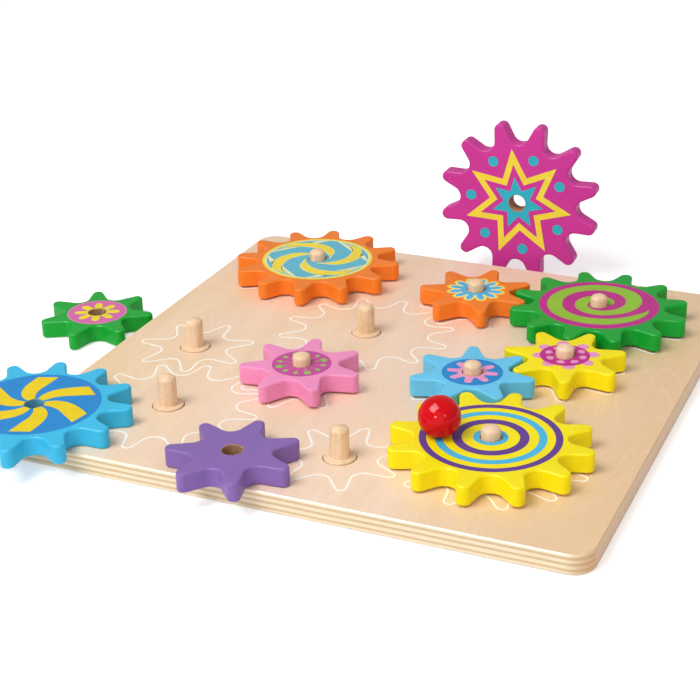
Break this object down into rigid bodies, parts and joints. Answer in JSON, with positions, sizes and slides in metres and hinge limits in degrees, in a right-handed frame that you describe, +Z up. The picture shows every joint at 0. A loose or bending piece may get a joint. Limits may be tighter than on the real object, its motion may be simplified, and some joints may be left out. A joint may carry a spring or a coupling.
{
  "type": "wooden gear board toy",
  "caption": "Square plywood board with turned pegs that hold toothed wooden wheels; turning the knob on one wheel drives the wheels meshed with it.",
  "frame": {"origin": "middle of the board's underside, in the plane of the table", "axes": "+X along the board's front edge to the right, +Y to the back of the board, +Z up"},
  "size_m": [0.3664, 0.3472, 0.0955],
  "materials": {
    "birch_board": "clear matt lacquer over birch plywood",
    "beech_pegs": "bare turned beech",
    "paint_yellow": "satin paint on wood",
    "paint_sky": "satin paint on wood",
    "paint_green": "satin paint on wood",
    "paint_orange": "satin paint on wood",
    "paint_pink": "satin paint on wood",
    "paint_purple": "satin paint on wood",
    "paint_magenta": "satin paint on wood",
    "knob_lacquer": "gloss lacquer on a turned ball"
  },
  "bodies": {
    "board": {"base_board": "birch_board", "peg_crank": "beech_pegs", "peg_sky": "beech_pegs", "peg_yellow_small": "beech_pegs", "peg_green_large": "beech_pegs", "peg_orange_small": "beech_pegs", "peg_orange_large": "beech_pegs", "peg_pink": "beech_pegs", "peg_for_magenta": "beech_pegs", "peg_for_blue": "beech_pegs", "peg_for_green_small": "beech_pegs", "peg_for_purple": "beech_pegs"},
    "crank_wheel": {"wheel_yellow_large": "paint_yellow", "crank_knob": "knob_lacquer", "crank_pin": "beech_pegs"},
    "sky_wheel": {"wheel_sky_small": "paint_sky"},
    "yellow_small_wheel": {"wheel_yellow_small": "paint_yellow"},
    "green_large_wheel": {"wheel_green_large": "paint_green"},
    "orange_small_wheel": {"wheel_orange_small": "paint_orange"},
    "orange_large_wheel": {"wheel_orange_large": "paint_orange"},
    "pink_wheel": {"wheel_pink_small": "paint_pink"},
    "purple_wheel": {"wheel_purple_small": "paint_purple"},
    "blue_wheel": {"wheel_blue_large": "paint_sky"},
    "green_small_wheel": {"wheel_green_small": "paint_green"},
    "magenta_wheel": {"wheel_magenta_large": "paint_magenta"}
  },
  "joints": [
    {"name": "crank_spin", "type": "hinge", "parent": "board", "child": "crank_wheel", "pos_m": [0.0819, -0.0813, 0.01095], "axis": [0, 0, 1], "continuous": true},
    {"name": "sky_spin", "type": "hinge", "parent": "board", "child": "sky_wheel", "pos_m": [0.0501, -0.01807, 0.01095], "axis": [0, 0, 1], "continuous": true},
    {"name": "yellow_small_spin", "type": "hinge", "parent": "board", "child": "yellow_small_wheel", "pos_m": [0.0878, 0.01796, 0.01095], "axis": [0, 0, 1], "continuous": true},
    {"name": "green_large_spin", "type": "hinge", "parent": "board", "child": "green_large_wheel", "pos_m": [0.08595, 0.08871, 0.01095], "axis": [0, 0, 1], "continuous": true},
    {"name": "orange_small_spin", "type": "hinge", "parent": "board", "child": "orange_small_wheel", "pos_m": [0.01525, 0.08537, 0.01095], "axis": [0, 0, 1], "continuous": true},
    {"name": "orange_large_spin", "type": "hinge", "parent": "board", "child": "orange_large_wheel", "pos_m": [-0.08913, 0.09663, 0.01095], "axis": [0, 0, 1], "continuous": true},
    {"name": "pink_spin", "type": "hinge", "parent": "board", "child": "pink_wheel", "pos_m": [-0.03499, -0.04024, 0.01095], "axis": [0, 0, 1], "continuous": true},
    {"name": "purple_lift", "type": "slide", "parent": "board", "child": "purple_wheel", "axis": [0, 0, 1], "range_m": [0, 0.06]},
    {"name": "blue_lift", "type": "slide", "parent": "board", "child": "blue_wheel", "axis": [0, 0, 1], "range_m": [0, 0.06]},
    {"name": "green_small_lift", "type": "slide", "parent": "board", "child": "green_small_wheel", "axis": [0, 0, 1], "range_m": [0, 0.06]},
    {"name": "magenta_lift", "type": "slide", "parent": "board", "child": "magenta_wheel", "axis": [0, 0, 1], "range_m": [0, 0.06]}
  ],
  "couplings": [
    {"joint": "sky_spin", "follows": "crank_spin", "ratio": -1.7143},
    {"joint": "yellow_small_spin", "follows": "crank_spin", "ratio": 1.7143},
    {"joint": "green_large_spin", "follows": "crank_spin", "ratio": -1},
    {"joint": "orange_small_spin", "follows": "crank_spin", "ratio": 1.7143}
  ]
}
